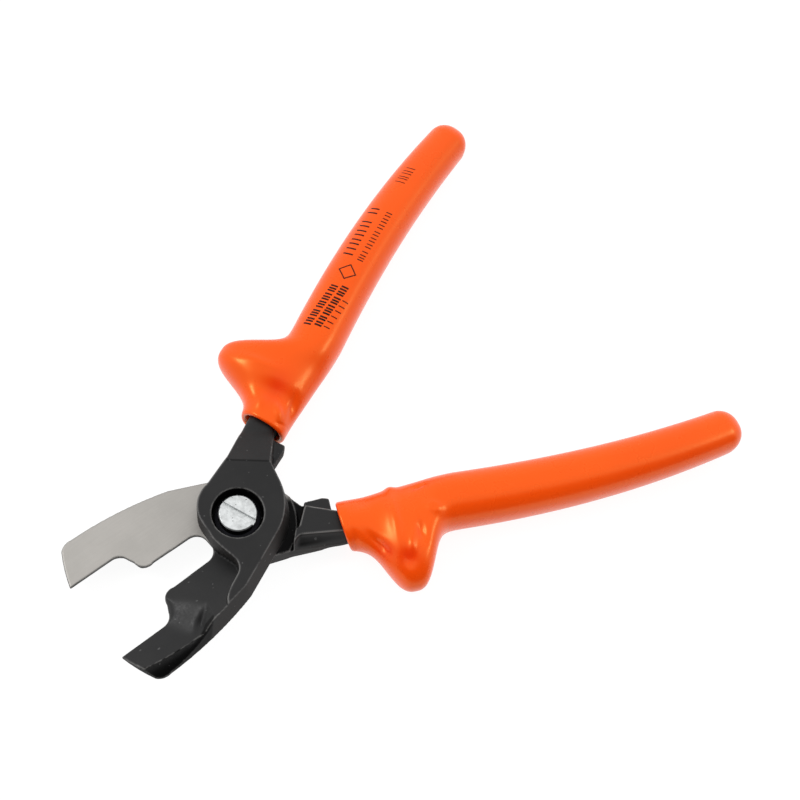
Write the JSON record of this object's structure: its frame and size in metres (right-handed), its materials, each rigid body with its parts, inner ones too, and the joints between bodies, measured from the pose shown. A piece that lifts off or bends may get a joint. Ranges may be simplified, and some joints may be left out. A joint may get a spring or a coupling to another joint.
{
  "type": "cable cutter",
  "caption": "Hand-held cable cutter: forged shearing arms with hooked blades on a slotted pivot bolt, stop lugs and dipped plastic grips with pinch guards.",
  "frame": {"origin": "on the pivot bolt's axis, in the plane where the two blades shear", "axes": "+X from the pivot to the handles, halfway between them at rest; +Y towards the front arm's handle; +Z along the pivot axis, out of the slotted head"},
  "size_m": [0.1842, 0.1408, 0.0168],
  "materials": {
    "black_steel": "satin black oxide with ground bright shear faces",
    "dipped_grip": "glossy dipped orange",
    "plated_steel": "bright zinc plating",
    "nylon": "matte"
  },
  "bodies": {
    "rear_half": {"rear_arm": "black_steel", "rear_grip": "dipped_grip", "pivot_bolt": "plated_steel", "spring_washer": "black_steel", "back_washer": "plated_steel", "lock_nut": "plated_steel", "locking_ring": "nylon"},
    "front_half": {"front_arm": "black_steel", "front_grip": "dipped_grip"}
  },
  "joints": [
    {"name": "pivot_hinge", "type": "hinge", "parent": "rear_half", "child": "front_half", "pos_m": [0, 0, 0], "axis": [0, 0, 1], "range_deg": [-41, 35]}
  ]
}
